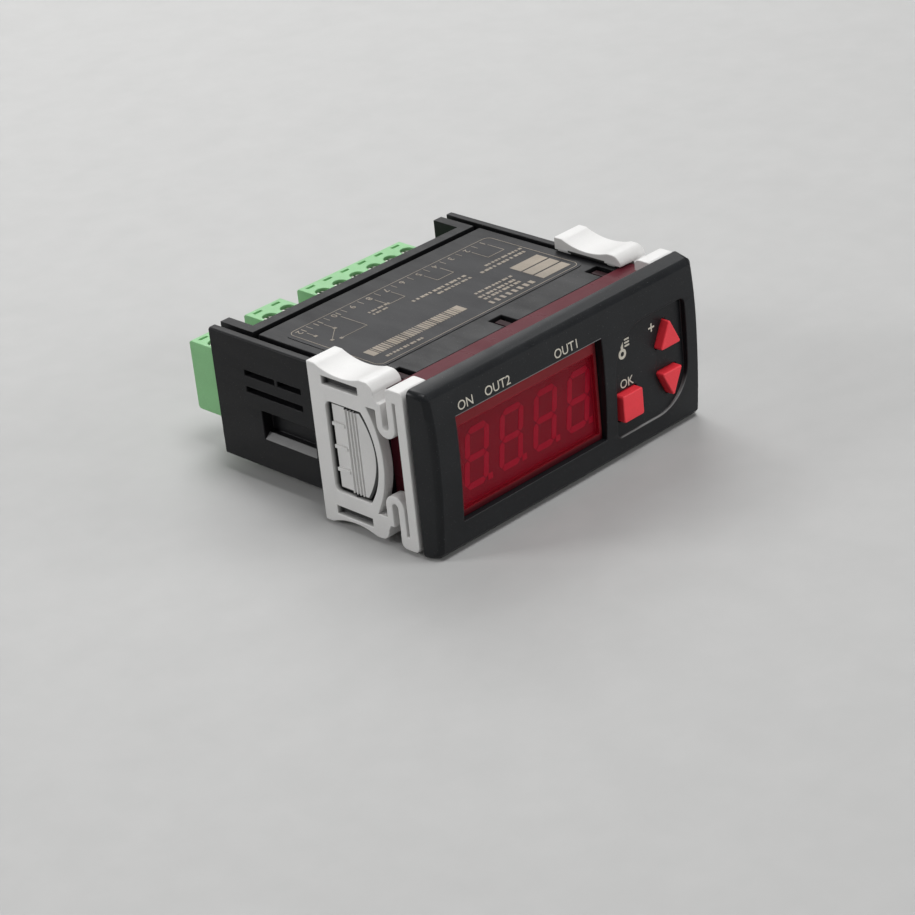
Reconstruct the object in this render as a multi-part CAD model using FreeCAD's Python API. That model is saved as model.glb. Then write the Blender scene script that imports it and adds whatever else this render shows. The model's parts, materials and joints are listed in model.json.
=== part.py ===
"""Panel-mount temperature controller: bezel, red filter, keys, case, clamps, boards and plug-in terminals.

Millimetres. X runs right as seen from the front, Y runs rearwards and Z up. The origin is the centre of
the panel cut-out, on the panel's front plane, which is the back face of the bezel's rim.
"""
import FreeCAD, Part
import math
import os

Vector = FreeCAD.Vector

# Standard format: a front of 77 by 35 on a rim that grows towards the panel, and its cut-out
bezel_width = 78.0
bezel_height = 36.2
cutout_width = 71.0
cutout_height = 29.0
cutout_play = 0.2
body_half_width = cutout_width / 2 - cutout_play
body_half_height = cutout_height / 2 - cutout_play
body_corner = 0.6

# Bezel: a crowned face, fullest above its middle
bezel_half_width = bezel_width / 2
bezel_half_height = bezel_height / 2
bezel_taper_side = 0.8
bezel_taper_top = 0.7
bezel_corner = 1.3
bezel_chamfer = 1.0
crown_low_depth = 4.1
crown_peak_depth = 5.5
crown_peak_height = 5.5
crown_top_depth = 4.5
rim_pocket_depth = 1.2
rim_wall_side = 3.0
rim_wall_top = 2.9

# Sides of the small round bars and holes, and a length that counts as none
round_sides = 14
fine_length = 0.001

# Window in the bezel and the filter behind it
window_left = -31.7
window_right = 9.3
window_low = -11.5
window_high = 11.0
filter_front = -3.55
filter_sheet = 1.2
filter_lap = 0.8
pane_step = 0.4
pane_play = 0.12
filter_seat_play = 0.1
collar_wall = 1.5
collar_end = 9.9
tongue_width = 1.8
tongue_length = 4.0
tongue_thickness = 1.0

# Sunk key area: big rounds at two opposite corners, tight ones at the others
recess_left = 12.6
recess_right = 34.1
recess_low = -12.7
recess_high = 10.6
recess_floor = -4.15
recess_big_round = 9.0
recess_small_round = 1.3
key_web = 1.0
key_pocket_left = 11.4
key_pocket_right = 35.2
key_pocket_low = -13.6
key_pocket_high = 11.6

# Keys
key_front = -5.95
key_play = 0.2
key_flange = 0.7
key_flange_lap = 0.7
key_flange_gap = 0.1
key_stem_side = 2.6
key_stem_end = 1.5
key_hole_side = 4.6
set_key_centre = (16.5, -6.35)
set_key_side = 6.0
set_key_round = 0.6
arrow_centre_x = 28.7
arrow_middle = -0.7
arrow_base = 6.2
arrow_rise = 6.1
arrow_gap = 2.6
arrow_round = 0.4

# Display and its board
board_thickness = 1.6
display_board_front = 4.6
display_width = 39.2
display_height = 18.0
display_centre = (-11.0, -1.1)
display_front = -2.25
digit_count = 4
digit_pitch = 9.65
digit_height = 12.8
digit_width = 6.6
digit_slant = math.tan(math.radians(8.0))
digits_centre_x = -10.0
segment_width = 1.35
segment_gap = 0.14
segment_proud = 0.06
point_side = 1.3
switch_side = 6.0
switch_height = 3.5
switch_bore_side = 3.0
switch_base = 1.6

# Case: an inner box with a rail plate standing off each side
case_end = 49.9
rail_end = 61.5
rail_thickness = 1.9
rail_groove_width = 1.5
rail_groove_depth = 4.5
case_wall = 1.8
case_side_wall = 1.5
core_half_width = body_half_width - rail_thickness - rail_groove_width
cavity_half_width = core_half_width - case_side_wall
cavity_half_height = body_half_height - case_wall
notch_width = 3.7
notch_length = 4.7
notch_spacing = 28.5
vent_low_edges = (6.1, 2.4)
vent_height = 1.2
vent_start = 35.0
vent_end = 51.8
vent_bridge_at = 42.4
vent_bridge = 0.9
side_window_start = 32.5
side_window_end = 48.0
side_window_high = -0.9
side_window_low = -7.3
side_window_depth = 2.6
ledge_rise = 1.3
ledge_depth = 1.4
rack_start = 12.6
rack_pitch = 1.25
rack_count = 12
rack_groove = 0.6
rack_depth = 0.4
rack_half_height = 3.6

# Rear cover: lip, tongues into the case, cheeks beside the terminals
lip_start = 51.6
lip_end = 54.2
tongue_plate = 1.5
tongue_reach = 5.0
cheek_thickness = 2.4
cheek_thin = 1.1
ear_start = 50.2
ear_half_height = 12.4
ear_play = 0.2
cheek_relief = 1.0
header_play = 0.1

# Rating label
label_half_width = 29.7
label_start = 17.2
label_end = 45.0
label_round = 2.2
label_thickness = 0.12

# Panel clamps
clamp_face = 39.2
clamp_front = 0.8
clamp_rear = 27.4
clamp_top = 17.4
clamp_seat_play = 0.2
clamp_lip_play = 0.35
clamp_lip_edge = 31.4
clamp_hook_thickness = 0.9
clamp_hook_reach = 1.75
clamp_hook_front = 11.2
clamp_dip_top = 16.0
clamp_dip_middle = 19.2
clamp_crest_rear = 25.3
clamp_crest_front = 12.7
clamp_crest_front_top = 16.95
lip_front = 9.0
block_low = 11.6
grip_window_rear = 23.3
grip_window_half_height = 9.9
grip_window_front = 10.0
grip_window_corner_y = 13.3
grip_window_round = 1.5
bow_width = 1.7
bow_inner_face = 36.7
spring_inner_face = 36.4
spring_width = 1.75
spring_rear_line = 8.15
spring_front_line = 4.8
spring_turn_low = 6.2
spring_root = 1.7
bar_width = 2.4
bar_slit_top = 14.4
tab_rear = 5.7
tab_top = 17.2
tab_edge = 32.0
tab_round = 1.3
face_slot_front = 13.5
face_slot_rear = 23.6
face_slot_low = 13.3
face_slot_high = 15.1
face_slot_depth = 1.2

# Rocking latch in each clamp
latch_pin_y = 17.6
latch_pin_x = 37.9
latch_pin_radius = 0.6
latch_pin_play = 0.06
latch_pin_reach = 0.9
latch_rear = 22.4
latch_half_height = 9.3
latch_front = 10.9
latch_corner_y = 13.9
latch_paddle_face = 38.3
latch_inner_face = 37.0
latch_ridges_front = 15.2
latch_ridge_count = 4
latch_ridge_pitch = 0.92
latch_ridge_width = 0.58
latch_ridge_height = 0.6
latch_ridge_slope = 0.14
latch_nose_top = 38.75
latch_nose_face = 38.1
latch_step_count = 3
latch_step_pitch = 5.0
latch_step_height = 0.5
latch_step_width = 0.7
pawl_length = 1.4
pawl_reach = 35.65
pawl_half_height = 2.6

# Terminals: plugs at one pitch, with an empty place after each two-way plug
pitch = 5.08
places = 12
row_start = -places * pitch / 2
terminal_groups = {"outer": (0, 2), "middle": (3, 2), "wide": (6, 6)}
terminal_end_play = 0.05
main_board_top = -8.4
header_front = 50.0
header_end = 62.0
header_height = 8.6
header_wall = 1.0
header_back = 2.4
pin_side = 1.0
pin_end = 58.5
pin_level = -4.1
plug_front = 62.3
plug_end = 74.8
plug_low = -9.6
plug_high = 6.1
plug_front_high = 3.7
plug_slope_end = 66.0
plug_chamfer = 0.5
nose_front = 54.6
nose_play = 0.2
socket_side = 1.6
socket_front_end = 60.0
screw_y = 69.1
screw_radius = 1.5
screw_hole_radius = 1.65
screw_head = 5.5
screw_slot = 0.6
screw_slot_depth = 0.7
entry_width = 3.2
entry_low = -5.6
entry_high = -2.0
entry_flare = 0.4
entry_flare_depth = 1.0
cage_wall = 0.5
cage_top = -0.9
cage_front = 66.6
cage_end = 71.6
mark_slot_y = 72.6
mark_slot_length = 2.2
mark_slot_width = 0.8
mark_slot_depth = 0.6

# Boards and parts inside the case
main_board_front = 12.0
main_board_end = 50.4
board_tab_end = 60.0
link_pins = 10
link_pitch = 2.54
link_y = 12.6
link_body = 2.5
link_pin = 0.64
core_size = (30.0, 14.0, 20.0)
core_corner_at = (-27.0, 24.0)
coil_overhang = 5.0
coil_side_margin = 6.5
coil_round = 4.0
relay_size = (15.5, 19.0, 15.0)
relay_corner_at = (12.0, 24.0)
capacitor_spots = ((-25.0, 18.0, 4.0, 12.5), (17.5, 18.5, 4.0, 12.5))
chip_side = 10.0
chip_height = 1.4
chip_centre = (18.0, 3.0)

PLANES = {
    "xz": (Vector(1, 0, 0), Vector(0, 0, 1), Vector(0, 1, 0)),
    "yz": (Vector(0, 1, 0), Vector(0, 0, 1), Vector(1, 0, 0)),
    "xy": (Vector(1, 0, 0), Vector(0, 1, 0), Vector(0, 0, 1)),
}


# Drawing helpers
def spot(plane, u, v, level):
    """Point at (u, v) of a drawing plane that lies at a level along the third axis."""
    along, up, out = PLANES[plane]
    return along * u + up * v + out * level


def box(x, y, z):
    """Block between two values along each axis."""
    return Part.makeBox(x[1] - x[0], y[1] - y[0], z[1] - z[0], Vector(x[0], y[0], z[0]))


def sweep_up(plane, wire, low, high):
    """Solid from a closed wire drawn at the low level, raised to the high level."""
    return Part.Face(wire).extrude(PLANES[plane][2] * (high - low))


def line(start, end):
    return Part.LineSegment(start, end).toShape()


def rounded_wire(plane, corners, level):
    """Closed wire through corners (u, v, radius), each one rounded by a tangent arc."""
    rounds = []
    for index, (u, v, radius) in enumerate(corners):
        here = spot(plane, u, v, level)
        before = spot(plane, *corners[index - 1][:2], level)
        after = spot(plane, *corners[(index + 1) % len(corners)][:2], level)
        arriving = (here - before).normalize()
        leaving = (after - here).normalize()
        half_turn = arriving.getAngle(leaving) / 2
        if radius < fine_length or half_turn < fine_length:
            rounds.append((here, None, here))
            continue
        reach = radius * math.tan(half_turn)
        inward = (leaving - arriving).normalize()
        middle = here + inward * (radius / math.cos(half_turn) - radius)
        rounds.append((here - arriving * reach, middle, here + leaving * reach))
    edges = []
    for index, (start, middle, end) in enumerate(rounds):
        last = rounds[index - 1][2]
        if (start - last).Length > fine_length:
            edges.append(line(last, start))
        if middle is not None:
            edges.append(Part.Arc(start, middle, end).toShape())
    return Part.Wire(Part.__sortEdges__(edges))


def rounded_prism(plane, corners, low, high):
    return sweep_up(plane, rounded_wire(plane, corners, low), low, high)


def rounded_slab(plane, u, v, radius, low, high):
    """Block with four equal rounded edges along the third axis."""
    corners = [(u[0], v[0], radius), (u[1], v[0], radius), (u[1], v[1], radius), (u[0], v[1], radius)]
    return rounded_prism(plane, corners, low, high)


def square_bar(x, z, side, low, high):
    """Square bar along Y about a centre."""
    half = side / 2
    return box((x - half, x + half), (low, high), (z - half, z + half))


def round_bar(x, y, radius, low, high):
    """Upright round bar, many-sided with its flats at the radius."""
    corner_radius = radius / math.cos(math.pi / round_sides)
    turns = [2 * math.pi * side / round_sides for side in range(round_sides)]
    corners = [(x + corner_radius * math.cos(turn), y + corner_radius * math.sin(turn), 0) for turn in turns]
    return rounded_prism("xy", corners, low, high)


def drawn_prism(plane, start, steps, low, high):
    """Prism of an outline: a step (u, v) is a straight line, (mid u, mid v, u, v) an arc."""
    edges = []
    last = spot(plane, *start, low)
    for step in list(steps) + [start]:
        end = spot(plane, *step[-2:], low)
        if len(step) == 4:
            edges.append(Part.Arc(last, spot(plane, *step[:2], low), end).toShape())
        elif (end - last).Length > fine_length:
            edges.append(line(last, end))
        last = end
    return sweep_up(plane, Part.Wire(edges), low, high)


def ribbon(plane, path, width, low, high):
    """Strip of one width along an open path of corners (u, v, bend radius)."""
    half = width / 2
    sides = {1: [], -1: []}
    for index, (u, v, radius) in enumerate(path):
        here = Vector(u, v, 0)
        headings = []
        if index > 0:
            headings.append((here - Vector(*path[index - 1][:2], 0)).normalize())
        if index + 1 < len(path):
            headings.append((Vector(*path[index + 1][:2], 0) - here).normalize())
        first, last = headings[0], headings[-1]
        turn = first.x * last.y - first.y * last.x
        mitre = Vector(-first.y - last.y, first.x + last.x, 0) / (1 + first.dot(last))
        for side in sides:
            bend = radius - side * math.copysign(half, turn) if radius else 0
            edge = here + mitre * (side * half)
            sides[side].append((edge.x, edge.y, bend))
    return rounded_prism(plane, sides[1] + sides[-1][::-1], low, high)


def joined(shapes):
    """One solid from shapes that meet, with seams between coplanar faces removed."""
    return shapes[0].multiFuse(shapes[1:]).removeSplitter()


def mirrored(shape):
    return shape.mirror(Vector(0, 0, 0), Vector(1, 0, 0))


def upside_down(shape):
    return shape.mirror(Vector(0, 0, 0), Vector(0, 0, 1))


# Front
def crown_edge():
    """Steps of the bezel's side view from the bottom of its back face to the top of it."""
    high = bezel_half_height - bezel_taper_top
    return [
        (-crown_low_depth, -high),
        (*arc_middle(crown_low_depth, -high), -crown_peak_depth, crown_peak_height),
        (*arc_middle(crown_top_depth, high), -crown_top_depth, high),
        (0, bezel_half_height),
    ]


def arc_middle(end_depth, end_height):
    """Point half way along an arc of the crown, where it has left the peak by a quarter of its fall."""
    depth = crown_peak_depth - (crown_peak_depth - end_depth) / 4
    return -depth, (crown_peak_height + end_height) / 2


def key_outlines(grow):
    """Outlines of the three keys in front view, set out by an amount on every side."""
    x, z = set_key_centre
    half = set_key_side / 2 + grow
    square = [(x - half, z - half), (x + half, z - half), (x + half, z + half), (x - half, z + half)]
    outlines = {"set_key": [(u, v, set_key_round + grow) for u, v in square]}
    slope = math.hypot(arrow_base / 2, arrow_rise)
    foot = grow * (slope + arrow_base / 2) / arrow_rise
    tip = grow * slope / (arrow_base / 2)
    for name, way in (("up_key", 1), ("down_key", -1)):
        base = arrow_middle + way * (arrow_gap - grow)
        apex = arrow_middle + way * (arrow_gap + arrow_rise + tip)
        half_base = arrow_base / 2 + foot
        left = arrow_centre_x - half_base
        right = arrow_centre_x + half_base
        triangle = [(left, base), (right, base), (arrow_centre_x, apex)]
        outlines[name] = [(u, v, arrow_round + grow) for u, v in triangle[::way]]
    return outlines


def key_centre(outline):
    """Middle of a key's outline, where its stem stands."""
    xs = [corner[0] for corner in outline]
    zs = [corner[1] for corner in outline]
    return sum(xs) / len(xs), sum(zs) / len(zs)


def bezel_block():
    """Crowned block, tapered on all four sides, with rounded corners and a broken front edge."""
    front_x = bezel_half_width - bezel_taper_side
    crown = drawn_prism("yz", (0, -bezel_half_height), crown_edge(), -bezel_half_width, bezel_half_width)
    plan = drawn_prism("xy", (-bezel_half_width, 0), [
        (bezel_half_width, 0), (front_x, -crown_peak_depth), (-front_x, -crown_peak_depth)],
        -bezel_half_height, bezel_half_height)
    block = crown.common(plan)
    corners = [edge for edge in block.Edges if at_back(edge) and edge.BoundBox.YLength > fine_length]
    block = block.makeFillet(bezel_corner, corners)
    rim = [edge for edge in block.Edges if not at_back(edge)
           and abs(edge.CenterOfMass.z - crown_peak_height) > fine_length]
    return block.makeChamfer(bezel_chamfer, rim)


def at_back(edge):
    return edge.BoundBox.YMax > -fine_length


def front_bezel():
    """Crowned frame with a window, a sunk key area and the pocket that takes the filter."""
    window = box((window_left, window_right), (-crown_peak_depth, 0), (window_low, window_high))
    sunk = [
        (recess_left, recess_low, recess_small_round),
        (recess_right, recess_low, recess_big_round),
        (recess_right, recess_high, recess_small_round),
        (recess_left, recess_high, recess_big_round),
    ]
    cuts = [window, rounded_prism("xz", sunk, -crown_peak_depth, recess_floor)]
    rim_x = bezel_half_width - rim_wall_side
    rim_z = bezel_half_height - rim_wall_top
    cuts.append(box((-rim_x, rim_x), (-rim_pocket_depth, 0), (-rim_z, rim_z)))
    lap = filter_lap + filter_seat_play
    cuts.append(box((window_left - lap, window_right + lap), (filter_front + pane_step, 0),
                    (window_low - lap, window_high + lap)))
    cuts.append(box((key_pocket_left, key_pocket_right), (recess_floor + key_web, 0),
                    (key_pocket_low, key_pocket_high)))
    for outline in key_outlines(key_play).values():
        cuts.append(rounded_prism("xz", outline, -crown_peak_depth, 0))
    return bezel_block().cut(Part.Compound(cuts))


def front_filter():
    """Red moulding: rim plate, stepped window pane, collar behind the bezel and snap tongues."""
    rim_x = bezel_half_width - rim_wall_side - filter_seat_play
    rim_z = bezel_half_height - rim_wall_top - filter_seat_play
    inner_x = body_half_width - collar_wall
    inner_z = body_half_height - collar_wall
    pieces = [box((-rim_x, rim_x), (-rim_pocket_depth, 0), (-rim_z, rim_z))]
    collar_x = (-body_half_width, body_half_width)
    collar_z = (-body_half_height, body_half_height)
    pieces.append(rounded_slab("xz", collar_x, collar_z, body_corner, 0, collar_end))
    lap = filter_lap
    for margin, front in ((lap, filter_front + pane_step), (-pane_play, filter_front)):
        pieces.append(box((window_left - margin, window_right + margin), (front, 0),
                          (window_low - margin, window_high + margin)))
    hollow = [box((-inner_x, inner_x), (-rim_pocket_depth + filter_sheet, collar_end), (-inner_z, inner_z))]
    sheet_back = filter_front + filter_sheet
    inset = filter_sheet - lap
    hollow.append(box((window_left + inset, window_right - inset), (sheet_back, 0),
                      (window_low + inset, window_high - inset)))
    for outline in key_outlines(0).values():
        x, z = key_centre(outline)
        hollow.append(square_bar(x, z, key_hole_side, -rim_pocket_depth, 0))
    shell = joined(pieces).cut(Part.Compound(hollow))
    tongues = []
    for x in (-notch_spacing, 0, notch_spacing):
        tongue = box((x - tongue_width / 2, x + tongue_width / 2),
                     (collar_end - collar_wall, collar_end + tongue_length),
                     (inner_z, inner_z + tongue_thickness))
        tongues += [tongue, upside_down(tongue)]
    return joined([shell] + tongues)


def key(outline, flange_outline):
    """Cap through the bezel, flange behind it and a stem that reaches the switch."""
    web_back = recess_floor + key_web
    flange_front = web_back + key_flange_gap
    x, z = key_centre(outline)
    cap = rounded_prism("xz", outline, key_front, flange_front)
    square_corners = [(u, v, 0) for u, v, _ in flange_outline]
    flange = rounded_prism("xz", square_corners, flange_front, flange_front + key_flange)
    stem = square_bar(x, z, key_stem_side, flange_front + key_flange, key_stem_end)
    return joined([cap, flange, stem])


# Display
def display_board():
    """Circuit board that fills the collar."""
    half_x = body_half_width - collar_wall
    half_z = body_half_height - collar_wall
    back = display_board_front + board_thickness
    return box((-half_x, half_x), (display_board_front, back), (-half_z, half_z))


def led_display():
    """Display module on its board, with its face just behind the window."""
    x, z = display_centre
    return box((x - display_width / 2, x + display_width / 2), (display_front, display_board_front),
               (z - display_height / 2, z + display_height / 2))


def segment_outlines():
    """Corners of the seven bars of an upright digit about its own centre: pointed at both ends."""
    half_w = (digit_width - segment_width) / 2
    half_h = (digit_height - segment_width) / 2
    tip = segment_width / 2
    reach_x = half_w - segment_gap
    reach_z = half_h / 2 - segment_gap
    bars = []
    for rise in (-half_h, 0, half_h):
        bars.append([(u, v + rise) for u, v in pointed_bar(reach_x, tip)])
    for across in (-half_w, half_w):
        for rise in (-half_h / 2, half_h / 2):
            bars.append([(v + across, u + rise) for u, v in pointed_bar(reach_z, tip)])
    return bars


def pointed_bar(reach, tip):
    """Corners of a level bar about its centre, from its left point round to the lower left shoulder."""
    shoulder = reach - tip
    return [(-reach, 0), (-shoulder, tip), (shoulder, tip), (reach, 0), (shoulder, -tip), (-shoulder, -tip)]


def led_segments():
    """Light bars and points of every digit, leaning to the right."""
    solids = []
    z = display_centre[1]
    front = display_front - segment_proud
    for place in range(digit_count):
        x = digits_centre_x + (place - (digit_count - 1) / 2) * digit_pitch
        for bar in segment_outlines():
            corners = [(x + u + v * digit_slant, z + v, 0) for u, v in bar]
            solids.append(rounded_prism("xz", corners, front, display_front))
        point_x = x + (digit_width + point_side - digit_slant * digit_height) / 2
        point_z = z - (digit_height - point_side) / 2
        solids.append(square_bar(point_x, point_z, point_side, front, display_front))
    return Part.Compound(solids)


def key_switches():
    """Push switches under the keys; each one's bore takes the end of a key's stem."""
    solids = []
    front = display_board_front - switch_height
    for outline in key_outlines(0).values():
        x, z = key_centre(outline)
        body = square_bar(x, z, switch_side, front, display_board_front)
        bore = square_bar(x, z, switch_bore_side, front, display_board_front - switch_base)
        solids.append(body.cut(bore))
    return Part.Compound(solids)


# Case
def case():
    """Inner box open at both ends, with a rail plate along each side and clip notches at the front."""
    span_z = (-body_half_height, body_half_height)
    pieces = [box((-core_half_width, core_half_width), (collar_end, case_end), span_z)]
    cuts = [box((-cavity_half_width, cavity_half_width), (collar_end, case_end),
                (-cavity_half_height, cavity_half_height))]
    web_z = body_half_height - rail_groove_depth
    rail_inner = body_half_width - rail_thickness
    rail = rounded_prism("xz", [
        (rail_inner, -body_half_height, 0), (body_half_width, -body_half_height, body_corner),
        (body_half_width, body_half_height, body_corner), (rail_inner, body_half_height, 0)],
        collar_end, rail_end)
    web = box((core_half_width, rail_inner), (collar_end, case_end), (-web_z, web_z))
    side_cuts = side_openings()
    pieces += [rail, web, mirrored(rail), mirrored(web)]
    cuts += side_cuts + [mirrored(cut) for cut in side_cuts]
    for x in (-notch_spacing, 0, notch_spacing):
        notch = box((x - notch_width / 2, x + notch_width / 2), (collar_end, collar_end + notch_length),
                    (cavity_half_height, body_half_height))
        cuts += [notch, upside_down(notch)]
    return joined(pieces).cut(Part.Compound(cuts))


def side_openings():
    """Vent slots, ledged window and clamp rack of the right-hand side."""
    outer = body_half_width
    vent_x = (outer - rail_thickness, outer)
    upper, lower = vent_low_edges
    bridge = (vent_bridge_at - vent_bridge / 2, vent_bridge_at + vent_bridge / 2)
    cuts = [box(vent_x, (vent_start, bridge[0]), (upper, upper + vent_height)),
            box(vent_x, (bridge[1], vent_end), (upper, upper + vent_height)),
            box(vent_x, (vent_start, vent_end), (lower, lower + vent_height))]
    floor = outer - side_window_depth
    ledge = (outer - ledge_depth, side_window_low + ledge_rise)
    section = [(floor, side_window_high), (floor, ledge[1]), ledge, (outer, side_window_low)]
    cuts.append(drawn_prism("xz", (outer, side_window_high), section, side_window_start, side_window_end))
    for tooth in range(rack_count):
        start = rack_start + tooth * rack_pitch
        cuts.append(box((outer - rack_depth, outer), (start, start + rack_groove),
                        (-rack_half_height, rack_half_height)))
    return cuts


def rear_cover():
    """Lip wall with header openings, tongues into the case, ears to the rails and cheeks at the ends."""
    span_z = (-body_half_height, body_half_height)
    wall = box((-core_half_width, core_half_width), (lip_start, lip_end), span_z)
    tongue = box((-cavity_half_width, cavity_half_width), (lip_start - tongue_reach, lip_start),
                 (cavity_half_height - tongue_plate, cavity_half_height))
    pieces = [wall, tongue, upside_down(tongue)]
    cheek = box((core_half_width - cheek_thickness, core_half_width), (lip_end, rail_end), span_z)
    relief = box((core_half_width - cheek_thickness, core_half_width - cheek_thin), (lip_end, rail_end),
                 (plug_low - cheek_relief, plug_high + cheek_relief))
    cheek = cheek.cut(relief)
    ear = box((core_half_width, core_half_width + rail_groove_width), (ear_start, lip_start + cheek_thin),
              (-ear_half_height, ear_half_height))
    ear_root = box((cavity_half_width + ear_play, core_half_width), (ear_start, lip_start),
                   (-ear_half_height, ear_half_height))
    for piece in (cheek, ear, ear_root):
        pieces += [piece, mirrored(piece)]
    openings = []
    for name in terminal_groups:
        x = terminal_span(name)
        low = main_board_top - board_thickness - header_play
        high = main_board_top + header_height + header_play
        openings.append(box((x[0] - header_play, x[1] + header_play), (lip_start, lip_end), (low, high)))
    return joined(pieces).cut(Part.Compound(openings))


def rating_label():
    """Thin label on the case's top."""
    return rounded_slab("xy", (-label_half_width, label_half_width), (label_start, label_end), label_round,
                        body_half_height, body_half_height + label_thickness)


# Clamps
def clamp_right():
    """Frame round the latch, lips and hooks on the rails, and a pressure bar on two serpentine springs."""
    lip_low = body_half_height + clamp_lip_play
    hook_x = core_half_width + (rail_groove_width - clamp_hook_thickness) / 2
    hook = box((hook_x, hook_x + clamp_hook_thickness), (clamp_hook_front, clamp_rear),
               (lip_low - clamp_hook_reach, lip_low))
    turn = (spring_rear_line - spring_front_line) / 2
    turn_level = spring_turn_low + spring_width / 2
    spring = ribbon("yz", [
        (spring_rear_line, block_low + spring_root, 0), (spring_rear_line, turn_level, turn),
        (spring_front_line, turn_level, turn), (spring_front_line, bar_slit_top + spring_root, 0)],
        spring_width, spring_inner_face, clamp_face)
    tab = rounded_prism("yz", tab_corners(bar_slit_top), spring_inner_face, clamp_face)
    tab_reach = rounded_prism("yz", tab_corners(lip_low), tab_edge, clamp_face)
    pieces = [clamp_frame(lip_low)]
    for piece in (clamp_lip(lip_low), hook, spring, tab, tab_reach):
        pieces += [piece, upside_down(piece)]
    pieces.append(box((spring_inner_face, clamp_face), (clamp_front, clamp_front + bar_width),
                      (-bar_slit_top, bar_slit_top)))
    slot = box((clamp_face - face_slot_depth, clamp_face), (face_slot_front, face_slot_rear),
               (face_slot_low, face_slot_high))
    reach = grip_window_half_height + latch_pin_reach
    pin_hole = round_bar(latch_pin_x, latch_pin_y, latch_pin_radius + latch_pin_play, -reach, reach)
    return joined(pieces).cut(Part.Compound([slot, upside_down(slot), pin_hole]))


def tab_corners(low):
    """Side view of the tab at one end of the pressure bar."""
    return [(clamp_front, low, 0), (tab_rear, low, 0), (tab_rear, tab_top, tab_round),
            (clamp_front, tab_top, tab_round)]


def clamp_frame(half_height):
    """Plate beside the rail, flush with its springs in front and bowed thinly before the latch window."""
    seat = body_half_width + clamp_seat_play
    front = spring_rear_line - spring_width / 2
    plate = drawn_prism("yz", (front, -block_low), [
        (lip_front, -half_height), (clamp_rear, -half_height), (clamp_rear, half_height),
        (lip_front, half_height), (front, block_low)], seat, clamp_face)
    bow_corner = grip_window_corner_y - bow_width
    bite = drawn_prism("yz", (0, -block_low), [
        (bow_corner, -block_low), (grip_window_front - bow_width, 0, bow_corner, block_low), (0, block_low)],
        seat, clamp_face)
    thin = box((seat, bow_inner_face), (0, grip_window_corner_y), (-block_low, block_low))
    return plate.cut(Part.Compound([bite, thin, grip_window()]))


def clamp_lip(low):
    """Lip over the case: round front end, then two crests with a hollow between them."""
    end_round = clamp_crest_front_top - low
    bulge = end_round * (1 - math.sqrt(0.5))
    return drawn_prism("yz", (lip_front, low), [
        (lip_front + bulge, clamp_crest_front_top - bulge, lip_front + end_round, clamp_crest_front_top),
        (clamp_crest_front, clamp_crest_front_top),
        (clamp_dip_middle, clamp_dip_top, clamp_crest_rear, clamp_top),
        (clamp_rear, clamp_top),
        (clamp_rear, low)], clamp_lip_edge, clamp_face)


def grip_window():
    """Opening for the latch: straight behind, bowed in front."""
    half = grip_window_half_height
    rear = grip_window_rear
    soft = grip_window_round
    diagonal = soft * (1 - math.sqrt(0.5))
    return drawn_prism("yz", (grip_window_corner_y, -half), [
        (rear - soft, -half),
        (rear - diagonal, -half + diagonal, rear, -half + soft),
        (rear, half - soft),
        (rear - diagonal, half - diagonal, rear - soft, half),
        (grip_window_corner_y, half),
        (grip_window_front, 0, grip_window_corner_y, -half)], 0, clamp_face)


def latch_right():
    """Rocking grip: paddle with steps, upright ridges, sloping nose, pawl and the two pivot pins."""
    half = latch_half_height
    outline = drawn_prism("yz", (latch_corner_y, -half), [
        (latch_rear, -half), (latch_rear, half), (latch_corner_y, half),
        (latch_front, 0, latch_corner_y, -half)], latch_inner_face, clamp_face)
    section = [(latch_inner_face, latch_rear), (latch_paddle_face, latch_rear)]
    for ridge in reversed(range(latch_ridge_count)):
        start = latch_ridges_front + ridge * latch_ridge_pitch
        end = start + latch_ridge_width
        crest = latch_paddle_face + latch_ridge_height
        section += [(latch_paddle_face, end), (crest, end - latch_ridge_slope),
                    (crest, start + latch_ridge_slope), (latch_paddle_face, start)]
    section += [(latch_nose_top, latch_ridges_front - latch_ridge_slope), (latch_nose_face, latch_front),
                (latch_inner_face, latch_front)]
    body = drawn_prism("xy", section[0], section[1:], -half, half)
    pieces = [body.common(outline)]
    steps_end = latch_ridges_front + latch_ridge_count * latch_ridge_pitch
    step_x = (latch_paddle_face, latch_paddle_face + latch_step_height)
    for step in range(latch_step_count):
        z = (step - (latch_step_count - 1) / 2) * latch_step_pitch
        step_z = (z - latch_step_width / 2, z + latch_step_width / 2)
        pieces.append(box(step_x, (steps_end, latch_rear), step_z))
    pieces.append(box((pawl_reach, latch_inner_face), (latch_rear - pawl_length, latch_rear),
                      (-pawl_half_height, pawl_half_height)))
    reach = grip_window_half_height + latch_pin_reach
    pieces.append(round_bar(latch_pin_x, latch_pin_y, latch_pin_radius, -reach, reach))
    return joined(pieces)


# Terminals
def terminal_span(name):
    """Left and right ends of a terminal group."""
    first, ways = terminal_groups[name]
    start = row_start + first * pitch
    return start + terminal_end_play, start + ways * pitch - terminal_end_play


def way_centres(name):
    first, ways = terminal_groups[name]
    return [row_start + (first + way + 0.5) * pitch for way in range(ways)]


def header(name):
    """Shroud soldered to the board, with one square pin for each way."""
    x = terminal_span(name)
    z = (main_board_top, main_board_top + header_height)
    shroud = box(x, (header_front, header_end), z)
    mouth = box((x[0] + header_wall, x[1] - header_wall), (header_front + header_back, header_end),
                (z[0] + header_wall, z[1] - header_wall))
    pieces = [shroud.cut(mouth)]
    for centre in way_centres(name):
        pieces.append(square_bar(centre, pin_level, pin_side, header_front + header_back, pin_end))
    return joined(pieces)


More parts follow.
